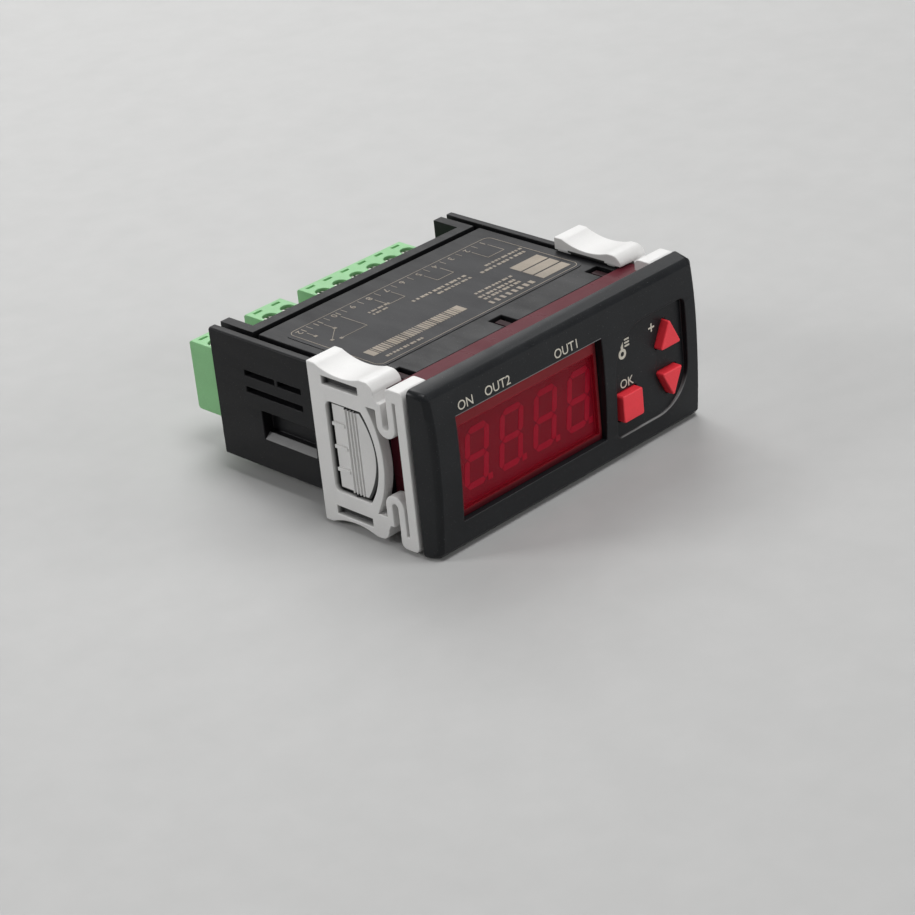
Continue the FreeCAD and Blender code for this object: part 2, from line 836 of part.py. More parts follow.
def plug(name):
    """Terminal plug: tall body behind, nose in the header, screw wells, wire entries and marker slots."""
    x = terminal_span(name)
    body = drawn_prism("yz", (plug_front, plug_low), [
        (plug_end - plug_chamfer, plug_low), (plug_end, plug_low + plug_chamfer),
        (plug_end, plug_high - plug_chamfer), (plug_end - plug_chamfer, plug_high),
        (plug_slope_end, plug_high), (plug_front, plug_front_high)], *x)
    inset = header_wall + nose_play
    nose = box((x[0] + inset, x[1] - inset), (nose_front, plug_front),
               (main_board_top + inset, main_board_top + header_height - inset))
    cuts = []
    for centre in way_centres(name):
        cuts += way_cuts(centre)
    return joined([body, nose]).cut(Part.Compound(cuts))


def way_cuts(centre):
    """Hollows of one way of a plug."""
    half_entry = entry_width / 2
    left = centre - half_entry
    right = centre + half_entry
    entry = box((left, right), (cage_front, plug_end), (entry_low, entry_high))
    funnel = Part.makeWedge(left, plug_end - entry_flare_depth, entry_low, entry_low - entry_flare,
                            left - entry_flare, right, plug_end, entry_high, entry_high + entry_flare,
                            right + entry_flare)
    seat = box((left - cage_wall, right + cage_wall), (cage_front, cage_end),
               (entry_low - cage_wall, cage_top))
    well = round_bar(centre, screw_y, screw_hole_radius, cage_top, plug_high)
    socket = square_bar(centre, pin_level, socket_side, nose_front, socket_front_end)
    half_length = mark_slot_length / 2
    mark = box((centre - half_length, centre + half_length), (mark_slot_y, mark_slot_y + mark_slot_width),
               (plug_high - mark_slot_depth, plug_high))
    return [entry, funnel, seat, well, socket, mark]


def screws(name):
    """Slotted terminal screws of a plug."""
    solids = []
    for centre in way_centres(name):
        screw = round_bar(centre, screw_y, screw_radius, cage_top, screw_head)
        slot = box((centre - screw_slot / 2, centre + screw_slot / 2),
                   (screw_y - screw_hole_radius, screw_y + screw_hole_radius),
                   (screw_head - screw_slot_depth, screw_head))
        solids.append(screw.cut(slot))
    return Part.Compound(solids)


def cages(name):
    """Metal wire clamps of a plug: square frames round each wire entry."""
    solids = []
    for centre in way_centres(name):
        inner = entry_width / 2
        outer = inner + cage_wall
        length = (cage_front, cage_end)
        frame = box((centre - outer, centre + outer), length, (entry_low - cage_wall, cage_top))
        hole = box((centre - inner, centre + inner), length, (entry_low, entry_high))
        solids.append(frame.cut(hole))
    return Part.Compound(solids)


# Inside the case
def main_board():
    """Board across the case, with a tab under each header."""
    z = (main_board_top - board_thickness, main_board_top)
    pieces = [box((-cavity_half_width, cavity_half_width), (main_board_front, main_board_end), z)]
    for name in terminal_groups:
        pieces.append(box(terminal_span(name), (main_board_end, board_tab_end), z))
    return joined(pieces)


def board_link():
    """Pin strip that carries the display board's signals to the main board."""
    half = link_pins * link_pitch / 2
    strip = box((-half, half), (link_y, link_y + link_body), (main_board_top, main_board_top + link_body))
    pieces = [strip]
    level = main_board_top + link_body / 2
    start = display_board_front + board_thickness
    for pin in range(link_pins):
        x = (pin - (link_pins - 1) / 2) * link_pitch
        pieces.append(square_bar(x, level, link_pin, start, link_y))
    return joined(pieces)


def transformer():
    """Mains transformer: laminated core with a rounded coil through it."""
    x, y = core_corner_at
    core = box((x, x + core_size[0]), (y, y + core_size[1]), (main_board_top, main_board_top + core_size[2]))
    coil = rounded_slab("xy", (x + coil_side_margin, x + core_size[0] - coil_side_margin),
                        (y - coil_overhang, y + core_size[1] + coil_overhang), coil_round,
                        main_board_top, main_board_top + core_size[2] - coil_overhang)
    return joined([core, coil])


def output_relay():
    """Relay in its sealed box."""
    x, y = relay_corner_at
    return box((x, x + relay_size[0]), (y, y + relay_size[1]),
               (main_board_top, main_board_top + relay_size[2]))


def capacitors():
    """Round cans standing on the main board."""
    cans = []
    for x, y, radius, height in capacitor_spots:
        cans.append(round_bar(x, y, radius, main_board_top, main_board_top + height))
    return Part.Compound(cans)


def controller_chip():
    """Chip on the back of the display board."""
    start = display_board_front + board_thickness
    return square_bar(*chip_centre, chip_side, start, start + chip_height)


def build():
    """Every piece under its own name."""
    parts = {"front_bezel": front_bezel(), "front_filter": front_filter()}
    flanges = key_outlines(key_flange_lap)
    for name, outline in key_outlines(0).items():
        parts[name] = key(outline, flanges[name])
    for make in (display_board, led_display, led_segments, key_switches, case, rear_cover, rating_label,
                 clamp_right, latch_right, main_board, board_link, transformer, output_relay, capacitors,
                 controller_chip):
        parts[make.__name__] = make()
    parts["clamp_left"] = mirrored(parts["clamp_right"])
    parts["latch_left"] = mirrored(parts["latch_right"])
    for name in terminal_groups:
        parts["header_" + name] = header(name)
        parts["plug_" + name] = plug(name)
        parts["screws_" + name] = screws(name)
        parts["cages_" + name] = cages(name)
    return parts


os.makedirs("parts", exist_ok=True)
for node, shape in build().items():
    shape.exportStep("parts/" + node + ".step")
    print(node, len(shape.Solids), shape.isValid(), round(shape.Volume, 1))
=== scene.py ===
"""Looks of a panel-mount temperature controller: softened mouldings, finishes, print and studio.

Lengths are metres, in the frame of the solids: X right, Y rearwards and Z up.
"""
import json
import math

import bmesh
import bpy
import numpy as np
from mathutils import Matrix, Vector

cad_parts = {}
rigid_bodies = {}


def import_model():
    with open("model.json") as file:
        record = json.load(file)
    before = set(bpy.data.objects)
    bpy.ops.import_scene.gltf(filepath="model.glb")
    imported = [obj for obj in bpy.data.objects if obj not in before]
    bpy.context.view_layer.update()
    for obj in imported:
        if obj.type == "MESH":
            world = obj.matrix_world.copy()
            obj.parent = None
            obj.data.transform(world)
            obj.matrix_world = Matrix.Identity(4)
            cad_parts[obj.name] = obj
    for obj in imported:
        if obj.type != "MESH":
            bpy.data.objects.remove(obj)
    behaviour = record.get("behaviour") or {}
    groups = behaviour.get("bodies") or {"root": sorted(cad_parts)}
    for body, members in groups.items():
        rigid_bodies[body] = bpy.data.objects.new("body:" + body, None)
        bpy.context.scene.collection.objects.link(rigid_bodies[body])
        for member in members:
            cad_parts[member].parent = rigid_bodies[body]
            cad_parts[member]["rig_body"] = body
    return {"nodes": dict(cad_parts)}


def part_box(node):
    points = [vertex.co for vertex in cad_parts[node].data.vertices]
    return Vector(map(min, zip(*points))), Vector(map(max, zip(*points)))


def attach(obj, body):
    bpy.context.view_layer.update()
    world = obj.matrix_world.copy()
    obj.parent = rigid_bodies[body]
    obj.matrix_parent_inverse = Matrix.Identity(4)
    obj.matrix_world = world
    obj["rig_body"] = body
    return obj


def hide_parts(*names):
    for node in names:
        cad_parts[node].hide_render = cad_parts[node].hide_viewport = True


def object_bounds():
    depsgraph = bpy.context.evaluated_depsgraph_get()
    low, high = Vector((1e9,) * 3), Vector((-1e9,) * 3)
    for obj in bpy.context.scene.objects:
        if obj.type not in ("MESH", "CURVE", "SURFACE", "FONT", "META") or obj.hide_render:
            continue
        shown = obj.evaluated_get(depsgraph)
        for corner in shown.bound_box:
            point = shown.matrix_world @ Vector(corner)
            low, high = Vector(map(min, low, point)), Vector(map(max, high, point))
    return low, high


bl_info = {
    "name": "Panel temperature controller",
    "version": (1, 0, 0),
    "blender": (4, 5, 0),
    "location": "View3D > Sidebar > Controller",
    "description": "Dresses the solids of a panel-mount temperature controller",
    "category": "Object",
}

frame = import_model()
SOLID_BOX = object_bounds()
MM = 0.001
PLUGS = ("outer", "middle", "wide")


# Settings
def colour(title, text, default):
    """Setting of a colour."""
    return bpy.props.FloatVectorProperty(
        name=title, description=text, default=default, subtype="COLOR", min=0, max=1)


def length(title, text, default):
    """Setting of a length, given in millimetres."""
    return bpy.props.FloatProperty(
        name=title, description=text, default=default * MM, unit="LENGTH", subtype="DISTANCE", precision=5)


def share(title, text, default):
    """Setting of a share from 0 to 1."""
    return bpy.props.FloatProperty(
        name=title, description=text, default=default, subtype="FACTOR", min=0, max=1)


def angle(title, text, degrees):
    """Setting of an angle, given in degrees."""
    return bpy.props.FloatProperty(
        name=title, description=text, default=math.radians(degrees), subtype="ANGLE")


class ControllerFinish(bpy.types.PropertyGroup):
    """Colours of the mouldings, the print and the parts inside."""
    bezel: colour("Bezel", "Satin moulding of the front frame", (0.011, 0.012, 0.0135))
    # Painted highlight: light colour laid on the edges at the keys, the window and the side-window ledges
    painted_highlight: colour("Painted highlights", "Edges at the keys, window and side windows", (0.20, 0.20, 0.20))
    case: colour("Case", "Moulding of the case and its rear cover", (0.007, 0.007, 0.008))
    label: colour("Label", "Film on top of the case", (0.018, 0.018, 0.020))
    pane: colour("Pane", "Red see-through window", (0.46, 0.004, 0.019))
    margin: colour("Pane margin", "Window above and beside the display", (0.222, 0.030, 0.035))
    # Painted shade: darker red for the shaded foot of the window
    foot: colour("Pane foot", "Shaded foot of the window", (0.05, 0.005, 0.008))
    collar: colour("Collar", "Red moulding where it shows behind the bezel", (0.10, 0.018, 0.026))
    # Painted shade: dark red for the shaded tongues inside the case
    tongue: colour("Tongues", "Shaded snap tongues of the red moulding", (0.02, 0.006, 0.008))
    display: colour("Display", "Face of the display module", (0.03, 0.003, 0.011))
    segment: colour("Segments", "Light bars of the digits", (0.34, 0.003, 0.03))
    key: colour("Keys", "Soft red keys", (0.78, 0.03, 0.046))
    clamp: colour("Clamps", "White mouldings of clamps and latches", (0.67, 0.665, 0.655))
    # Painted shade: dark colour laid deep in the clamps' slots and latch windows and along the latch's gap
    painted_shade: colour("Hollows", "Shaded depth of the clamps' slots and windows", (0.02, 0.02, 0.02))
    terminal: colour("Terminals", "Green mouldings of plugs and headers", (0.20, 0.46, 0.20))
    steel: colour("Steel", "Plated screws and wire cages", (0.58, 0.57, 0.53))
    core: colour("Core", "Laminated transformer core", (0.20, 0.19, 0.18))
    board: colour("Boards", "Lacquered circuit boards", (0.012, 0.075, 0.035))
    part: colour("Board parts", "Black parts on the boards", (0.014, 0.014, 0.015))
    legend: colour("Legends", "Cream legends on the bezel", (0.56, 0.53, 0.45))
    print: colour("Label print", "Tan print on the label", (0.25, 0.212, 0.165))
    dust: colour("Dust", "Fine specks on dark mouldings", (0.30, 0.30, 0.29))


class ControllerEdges(bpy.types.PropertyGroup):
    """Widths of the rolled edges of the mouldings."""
    bezel: length("Bezel", "Rolled edge of the front frame", 0.2)
    filter: length("Filter", "Rolled edge of the red moulding", 0.12)
    key: length("Keys", "Rolled edge of the keys", 0.3)
    case: length("Case", "Rolled edge of the case", 0.2)
    cover: length("Rear cover", "Rolled edge of the rear cover", 0.08)
    clamp: length("Clamps", "Rolled edge of the clamps", 0.2)
    latch: length("Latches", "Rolled edge of the latches", 0.05)
    plug: length("Plugs", "Rolled edge of the terminal plugs", 0.14)
    screw: length("Screws", "Rolled edge of the terminal screws", 0.04)


class ControllerPrint(bpy.types.PropertyGroup):
    """Sizes of the print and how far the red pane lets light through."""
    line: length("Line", "Width of the label's lines", 0.13)
    number: length("Numbers", "Height of the terminal numbers", 1.6)
    legend: length("Legends", "Height of the small legends on the bezel", 1.9)
    skin: length("Skin", "Thickness of the printed ink", 0.06)
    clear: share("Clear", "Cover of each face of the pane in front of the digits", 0.22)
    cloudy: share("Cloudy", "Cover of each face of the red moulding elsewhere", 1.0)


class ControllerStudio(bpy.types.PropertyGroup):
    """Camera, lights and floor."""
    focal: bpy.props.FloatProperty(
        name="Focal length", description="Lens for a 36 mm wide frame", default=114.15, unit="CAMERA")
    distance: length("Distance", "From the camera to the plane through the origin", 573.98)
    azimuth: angle("Azimuth", "Turn of the camera about the upright axis", -42.595)
    elevation: angle("Elevation", "Rise of the camera above the floor", 26.823)
    roll: angle("Roll", "Turn of the camera about its own axis", -6.184)
    shift_right: length("Shift right", "Camera's place to the right of the origin in its own view", -19.116)
    shift_up: length("Shift up", "Camera's place above the origin in its own view", -11.349)
    world: bpy.props.FloatProperty(
        name="World", description="Strength of the even light from all round", default=0.2, min=0)
    floor: colour("Floor", "Pale sheet under the object", (0.44, 0.44, 0.436))


def settings(name):
    """One of the scene's groups of settings: finish, edges, print or studio."""
    return getattr(bpy.context.scene, "controller_" + name)


# Meshes
def new_piece(name, mesh, body, nodes=()):
    """Object at the origin that rides on a body and stands for the given solids, which it hides."""
    piece = bpy.data.objects.new(name, mesh)
    bpy.context.scene.collection.objects.link(piece)
    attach(piece, body)
    if nodes:
        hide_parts(*nodes)
    return piece


def paint(piece, material):
    """Gives a piece or a solid one material."""
    piece.data.materials.clear()
    piece.data.materials.append(material)


MERGE_DISTANCE = 1e-6
FLAT_ANGLE = math.radians(0.4)
SHARP_ANGLE = math.radians(40)
ROLL_SEGMENTS = 3


def softened(node, name, edge, material):
    """Copy of a solid with its corners merged, flat faces made whole and convex, and sharp edges rolled."""
    source = frame["nodes"][node]
    mesh = source.data.copy()
    mesh.name = name
    shell = bmesh.new()
    shell.from_mesh(mesh)
    bmesh.ops.remove_doubles(shell, verts=shell.verts, dist=MERGE_DISTANCE)
    bmesh.ops.dissolve_limit(shell, angle_limit=FLAT_ANGLE, verts=shell.verts, edges=shell.edges)
    bmesh.ops.connect_verts_concave(shell, faces=shell.faces)
    shell.to_mesh(mesh)
    shell.free()
    mesh.polygons.foreach_set("use_smooth", np.ones(len(mesh.polygons), bool))
    piece = new_piece(name, mesh, source["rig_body"], [node])
    roll(piece, edge)
    weighted = piece.modifiers.new("even_shading", "WEIGHTED_NORMAL")
    weighted.keep_sharp = True
    paint(piece, material)


def roll(piece, edge):
    """Bevel of an edge's width over the piece's sharp edges."""
    rolled = piece.modifiers.new("rolled_edges", "BEVEL")
    rolled.width = edge
    rolled.segments = ROLL_SEGMENTS
    rolled.limit_method = "ANGLE"
    rolled.angle_limit = SHARP_ANGLE
    rolled.use_clamp_overlap = False
    rolled.loop_slide = False


# Flat print, drawn in the plane of two coordinates and then laid on a surface
def strokes(starts, ends, width):
    """Straight lines: each end is set out to both sides by half the width, square to the line."""
    starts = np.asarray(starts, float)
    ends = np.asarray(ends, float)
    along = ends - starts
    along /= np.linalg.norm(along, axis=1, keepdims=True)
    out = np.stack([-along[:, 1], along[:, 0]], axis=1) * width / 2
    corners = np.stack([starts - out, ends - out, ends + out, starts + out], axis=1)
    return corners.reshape(-1, 2), np.arange(corners.shape[0] * 4).reshape(-1, 4).tolist()


def band(path, width):
    """Closed line: its path set in and out by half the width along the path's normals."""
    along = np.roll(path, -1, axis=0) - np.roll(path, 1, axis=0)
    along /= np.linalg.norm(along, axis=1, keepdims=True)
    out = np.stack([along[:, 1], -along[:, 0]], axis=1) * width / 2
    count = len(path)
    here = np.arange(count)
    after = (here + 1) % count
    faces = np.stack([here, here + count, after + count, after], axis=1)
    return np.concatenate([path - out, path + out]), faces.tolist()


def rounded_frame(x, y, radius, steps=8):
    """Path round a rectangle with round corners: four quarter circles about the corners' centres."""
    turn = np.linspace(0, math.pi / 2, steps) + np.arange(4)[:, None] * math.pi / 2
    side = np.array([[1, 1], [-1, 1], [-1, -1], [1, -1]])
    middle = np.array([sum(x), sum(y)]) / 2
    half = np.array([x[1] - x[0], y[1] - y[0]]) / 2 - radius
    rounds = radius * np.stack([np.cos(turn), np.sin(turn)], axis=2)
    return (middle + (side * half)[:, None, :] + rounds).reshape(-1, 2)


GLYPH_STEPS = 3


def word(text, height, centre, turned=False):
    """Filled glyphs of a word, scaled to a height about a centre; a turned one reads from behind."""
    curve = bpy.data.curves.new("glyphs", "FONT")
    curve.body = text
    curve.resolution_u = GLYPH_STEPS
    holder = bpy.data.objects.new("glyphs", curve)
    mesh = bpy.data.meshes.new_from_object(holder)
    places = np.empty(len(mesh.vertices) * 3, np.float32)
    mesh.vertices.foreach_get("co", places)
    flat = places.reshape(-1, 3)[:, :2]
    low = flat.min(axis=0)
    high = flat.max(axis=0)
    scale = height / (high[1] - low[1])
    faces = [list(face.vertices) for face in mesh.polygons]
    bpy.data.objects.remove(holder)
    bpy.data.curves.remove(curve)
    bpy.data.meshes.remove(mesh)
    return (flat - (low + high) / 2) * (-scale if turned else scale) + np.asarray(centre), faces


def printed(name, parts, laid, body, material):
    """Ink skin: flat parts joined into one mesh, laid on a surface and given a thickness."""
    points = np.concatenate([laid(np.asarray(part[0])) for part in parts])
    starts = np.cumsum([0] + [len(part[0]) for part in parts])
    faces = [[corner + start for corner in face] for start, part in zip(starts, parts) for face in part[1]]
    mesh = bpy.data.meshes.new(name)
    mesh.from_pydata(points.tolist(), [], faces)
    piece = new_piece(name, mesh, body)
    ink = piece.modifiers.new("ink", "SOLIDIFY")
    ink.thickness = settings("print").skin
    ink.offset = 0
    paint(piece, material)


# Node groups
def new_group(name, inputs, outputs):
    """Empty shader group with named sockets, and its two end nodes."""
    group = bpy.data.node_groups.new(name, "ShaderNodeTree")
    for title, kind, default in inputs:
        socket = group.interface.new_socket(name=title, in_out="INPUT", socket_type=kind)
        socket.default_value = default
    for title, kind in outputs:
        group.interface.new_socket(name=title, in_out="OUTPUT", socket_type=kind)
    return group, group.nodes.new("NodeGroupInput"), group.nodes.new("NodeGroupOutput")


def add_node(tree, kind, links=(), **values):
    """Node of a kind with its settings; links are (input name or place, output socket) pairs."""
    node = tree.nodes.new(kind)
    for key, value in values.items():
        setattr(node, key, value)
    for place, output in links:
        tree.links.new(output, node.inputs[place])
    return node


def object_place(tree):
    """Object coordinates."""
    return add_node(tree, "ShaderNodeTexCoord").outputs["Object"]


def object_axes(tree):
    """Object coordinates as three values, X, Y and Z."""
    return add_node(tree, "ShaderNodeSeparateXYZ", [("Vector", object_place(tree))]).outputs


def noise(tree, coordinates, scale, detail=2.0, roughness=0.5):
    """Noise value over coordinates."""
    node = add_node(tree, "ShaderNodeTexNoise", [("Vector", coordinates)])
    node.inputs["Scale"].default_value = scale
    node.inputs["Detail"].default_value = detail
    node.inputs["Roughness"].default_value = roughness
    return node.outputs["Fac"]


def ramped(tree, value, source, target):
    """Value carried from one range to another and held at its ends."""
    node = add_node(tree, "ShaderNodeMapRange", [("Value", value)])
    for title, number in zip(("From Min", "From Max", "To Min", "To Max"), (*source, *target)):
        node.inputs[title].default_value = number
    return node.outputs["Result"]


def arithmetic(tree, operation, first, second=0.0):
    """Math node on two values, each a socket or a number."""
    node = add_node(tree, "ShaderNodeMath", operation=operation)
    for place, value in enumerate((first, second)):
        if isinstance(value, (int, float)):
            node.inputs[place].default_value = value
        else:
            tree.links.new(value, node.inputs[place])
    return node.outputs["Value"]


def scaled_colour(tree, source, factor):
    """Colour multiplied by a value."""
    node = add_node(tree, "ShaderNodeVectorMath", [(0, source), ("Scale", factor)], operation="SCALE")
    return node.outputs["Vector"]


def mixed_colour(tree, mask, first, second):
    """Colour that goes from the first to the second with a mask; each is a socket or a colour."""
    node = add_node(tree, "ShaderNodeMix", data_type="RGBA")
    tree.links.new(mask, node.inputs["Factor"])
    colours = [socket for socket in node.inputs if socket.type == "RGBA"]
    for socket, value in zip(colours, (first, second)):
        if isinstance(value, bpy.types.NodeSocket):
            tree.links.new(value, socket)
        else:
            socket.default_value = (*value, 1)
    return next(socket for socket in node.outputs if socket.type == "RGBA")


# Scales and spans of the mould skin's noises
NOISE_SPAN = (0.3, 0.7)
TONE_SPAN = (-0.5, 0.5)
CLOUD_SCALE = 130
PATCH_SCALE = 260
PATCH_STRETCH = (1.0, 0.25, 1.0)
DUST_SCALE = 4500
DUST_SPAN = (0.70, 0.78)


def moulded_grain():
    """Sparked mould skin: fine grain height, cloudy tone, wiped patches of roughness and specks of dust."""
    known = bpy.data.node_groups.get("moulded_grain")
    if known:
        return known
    group, start, end = new_group("moulded_grain", [
        ("Colour", "NodeSocketColor", (0.5, 0.5, 0.5, 1)),
        ("Tone", "NodeSocketFloat", 0.1),
        ("Grain Scale", "NodeSocketFloat", 5000.0),
        ("Roughness", "NodeSocketFloat", 0.4),
        ("Wipe", "NodeSocketFloat", 0.06),
        ("Dust", "NodeSocketFloat", 0.0),
    ], [("Colour", "NodeSocketColor"), ("Roughness", "NodeSocketFloat"), ("Height", "NodeSocketFloat")])
    place = object_place(group)
    fine = noise(group, place, 1, detail=3, roughness=0.6)
    group.links.new(start.outputs["Grain Scale"], fine.node.inputs["Scale"])
    cloud = noise(group, place, CLOUD_SCALE, detail=3)
    wiped = add_node(group, "ShaderNodeMapping", [("Vector", place)])
    wiped.inputs["Scale"].default_value = PATCH_STRETCH
    patches = noise(group, wiped.outputs["Vector"], PATCH_SCALE, detail=4, roughness=0.65)
    both = arithmetic(group, "ADD", ramped(group, cloud, NOISE_SPAN, TONE_SPAN),
                      ramped(group, fine, NOISE_SPAN, TONE_SPAN))
    tone = arithmetic(group, "ADD", arithmetic(group, "MULTIPLY", both, start.outputs["Tone"]), 1.0)
    toned = scaled_colour(group, start.outputs["Colour"], tone)
    specks = ramped(group, noise(group, place, DUST_SCALE, detail=1), DUST_SPAN, (0, 1))
    dusty = arithmetic(group, "MULTIPLY", specks, start.outputs["Dust"])
    skin = mixed_colour(group, dusty, toned, settings("finish").dust)
    group.links.new(skin, end.inputs["Colour"])
    rub = arithmetic(group, "MULTIPLY", ramped(group, patches, NOISE_SPAN, (-1, 1)), start.outputs["Wipe"])
    group.links.new(arithmetic(group, "ADD", start.outputs["Roughness"], rub), end.inputs["Roughness"])
    group.links.new(fine, end.inputs["Height"])
    return group


def field_mask():
    """Rectangle with a soft edge: 1 inside, from the larger of the distances past its sides."""
    known = bpy.data.node_groups.get("field_mask")
    if known:
        return known
    titles = ("Across", "Up", "Centre Across", "Centre Up", "Half Width", "Half Height", "Soft")
    group, start, end = new_group("field_mask", [(title, "NodeSocketFloat", 0.01) for title in titles],
                                  [("Mask", "NodeSocketFloat")])
    past = []
    for way, half in (("Across", "Half Width"), ("Up", "Half Height")):
        off = arithmetic(group, "SUBTRACT", start.outputs[way], start.outputs["Centre " + way])
        past.append(arithmetic(group, "SUBTRACT", arithmetic(group, "ABSOLUTE", off), start.outputs[half]))
    worst = arithmetic(group, "MAXIMUM", *past)
    inside = arithmetic(group, "DIVIDE", arithmetic(group, "MULTIPLY", worst, -1.0), start.outputs["Soft"])
    group.links.new(ramped(group, inside, (0, 1), (0, 1)), end.inputs["Mask"])
    return group


def field(tree, across, up, span_across, span_up, soft):
    """Mask of a rectangle given by its two spans, over two coordinates."""
    node = add_node(tree, "ShaderNodeGroup", [("Across", across), ("Up", up)], node_tree=field_mask())
    values = {"Soft": soft}
    for way, size, span in (("Across", "Half Width", span_across), ("Up", "Half Height", span_up)):
        values["Centre " + way] = sum(span) / 2
        values[size] = (span[1] - span[0]) / 2
    for title, value in values.items():
        node.inputs[title].default_value = value
    return node.outputs["Mask"]


# Materials
def new_material(name):
    """Material with its tree and Principled shader."""
    material = bpy.data.materials.new(name)
    material.use_nodes = True
    return material, material.node_tree, material.node_tree.nodes["Principled BSDF"]


GRAIN_BUMP = 0.25


def moulded(name, base, roughness, tone=0.12, grain=5000.0, wipe=0.06, relief=0.012, dust=0.0,
            tint=None, **plain):
    """Skin with a fine grain, whose relief is in millimetres.

    A tint is a function of the tree and its shader that gives the colour; plain values go on the shader.
    """
    known = bpy.data.materials.get(name)
    if known:
        return known
    material, tree, shader = new_material(name)
    grained = add_node(tree, "ShaderNodeGroup", node_tree=moulded_grain())
    grained.inputs["Colour"].default_value = (*base, 1)
    values = {"Tone": tone, "Grain Scale": grain, "Roughness": roughness, "Wipe": wipe, "Dust": dust}
    for title, value in values.items():
        grained.inputs[title].default_value = value
    if tint:
        tree.links.new(tint(tree, shader), grained.inputs["Colour"])
    raised = add_node(tree, "ShaderNodeBump", [("Height", grained.outputs["Height"])])
    raised.inputs["Strength"].default_value = GRAIN_BUMP
    raised.inputs["Distance"].default_value = relief * MM
    tree.links.new(grained.outputs["Colour"], shader.inputs["Base Color"])
    tree.links.new(grained.outputs["Roughness"], shader.inputs["Roughness"])
    tree.links.new(raised.outputs["Normal"], shader.inputs["Normal"])
    for title, value in plain.items():
        shader.inputs[title.replace("_", " ")].default_value = value
    return material


# Painted highlights on the bezel: light lines along the low rim of the key area and the top of the window
RIM_CENTRE = (25.1 * MM, -3.7 * MM)
RIM_ROUND = 9.0 * MM
RIM_START = (13.2 * MM, 14.2 * MM)
RIM_FLOOR = -4.3 * MM
RIM_FADE = (0.3, 0.75)
HIGHLIGHT_MIDDLE = 0.1 * MM
HIGHLIGHT_HALF = (0.16 * MM, 0.24 * MM)
WINDOW_LENGTH = (-31.7 * MM, 9.3 * MM)
WINDOW_EDGE = (10.93 * MM, 11.28 * MM)
WINDOW_FRONT = -5.05 * MM
WINDOW_SOFT = 0.06 * MM


def satin_bezel():
    """Black satin, with a painted highlight along the low edge and large corner of the key area and above
    the window.
    """
    finish = settings("finish")

    def tint(tree, shader):
        axes = object_axes(tree)
        # Painted highlight along the low rim and large corner of the key area
        right = arithmetic(tree, "MAXIMUM", arithmetic(tree, "SUBTRACT", axes["X"], RIM_CENTRE[0]))
        down = arithmetic(tree, "MAXIMUM", arithmetic(tree, "SUBTRACT", RIM_CENTRE[1], axes["Z"]))
        squares = [arithmetic(tree, "MULTIPLY", part, part) for part in (right, down)]
        far = arithmetic(tree, "SQRT", arithmetic(tree, "ADD", *squares))
        off = arithmetic(tree, "ABSOLUTE", arithmetic(tree, "SUBTRACT", far, RIM_ROUND + HIGHLIGHT_MIDDLE))
        masks = [ramped(tree, off, HIGHLIGHT_HALF, (1, 0)), ramped(tree, axes["X"], RIM_START, (0, 1)),
                 ramped(tree, arithmetic(tree, "DIVIDE", down, far), RIM_FADE, (0, 1)),
                 arithmetic(tree, "LESS_THAN", axes["Y"], RIM_FLOOR)]
        painted_highlight = masks[0]
        for mask in masks[1:]:
            painted_highlight = arithmetic(tree, "MULTIPLY", painted_highlight, mask)
        # Painted highlight along the top edge of the window
        edge = arithmetic(tree, "MULTIPLY", arithmetic(tree, "LESS_THAN", axes["Y"], WINDOW_FRONT),
                          field(tree, axes["X"], axes["Z"], WINDOW_LENGTH, WINDOW_EDGE, WINDOW_SOFT))
        return mixed_colour(tree, arithmetic(tree, "MAXIMUM", painted_highlight, edge), finish.bezel, finish.painted_highlight)

    return moulded("satin_bezel", finish.bezel, 0.36, tone=0.25, grain=4200, dust=0.2, tint=tint,
                   Specular_IOR_Level=0.21)


# Ledges of the side windows, which get a painted highlight
LEDGE_LENGTH = (32.6 * MM, 47.9 * MM)
LEDGE_LEVELS = (-7.35 * MM, -6.02 * MM)
LEDGE_SOFT = 0.1 * MM


def satin_case():
    """Black satin, with a painted highlight on the sloping ledge of each side window."""
    finish = settings("finish")

    def tint(tree, shader):
        axes = object_axes(tree)
        # Painted highlight on the sloping ledge
        ledge = field(tree, axes["Y"], axes["Z"], LEDGE_LENGTH, LEDGE_LEVELS, LEDGE_SOFT)
        return mixed_colour(tree, ledge, finish.case, finish.painted_highlight)

    return moulded("satin_case", finish.case, 0.4, tone=0.2, grain=4800, wipe=0.08, dust=0.2, tint=tint,
                   Specular_IOR_Level=0.15)


def label_film():
    """Dark film with a faint grain."""
    return moulded("label_film", settings("finish").label, 0.46, tone=0.1, grain=2600, wipe=0.05,
                   relief=0.004, dust=0.25, Specular_IOR_Level=0.16)


# Hollows of a clamp and the outline of its latch, where shade is painted
HOLLOW_WINDOW = (9.5 * MM, 23.9 * MM)
HOLLOW_BOW = 3.3 * MM
HOLLOW_HALF = 9.9 * MM
SLOT_LENGTH = (13.5 * MM, 23.6 * MM)
SLOT_LEVELS = (13.3 * MM, 15.1 * MM)
HOLLOW_SOFT = 0.1 * MM
FRAME_DEPTHS = (38.0 * MM, 38.9 * MM)
GRIP_DEPTHS = (37.1 * MM, 38.0 * MM)
GRIP_TIP = 11.5 * MM
GRIP_SIDES = 9.15 * MM


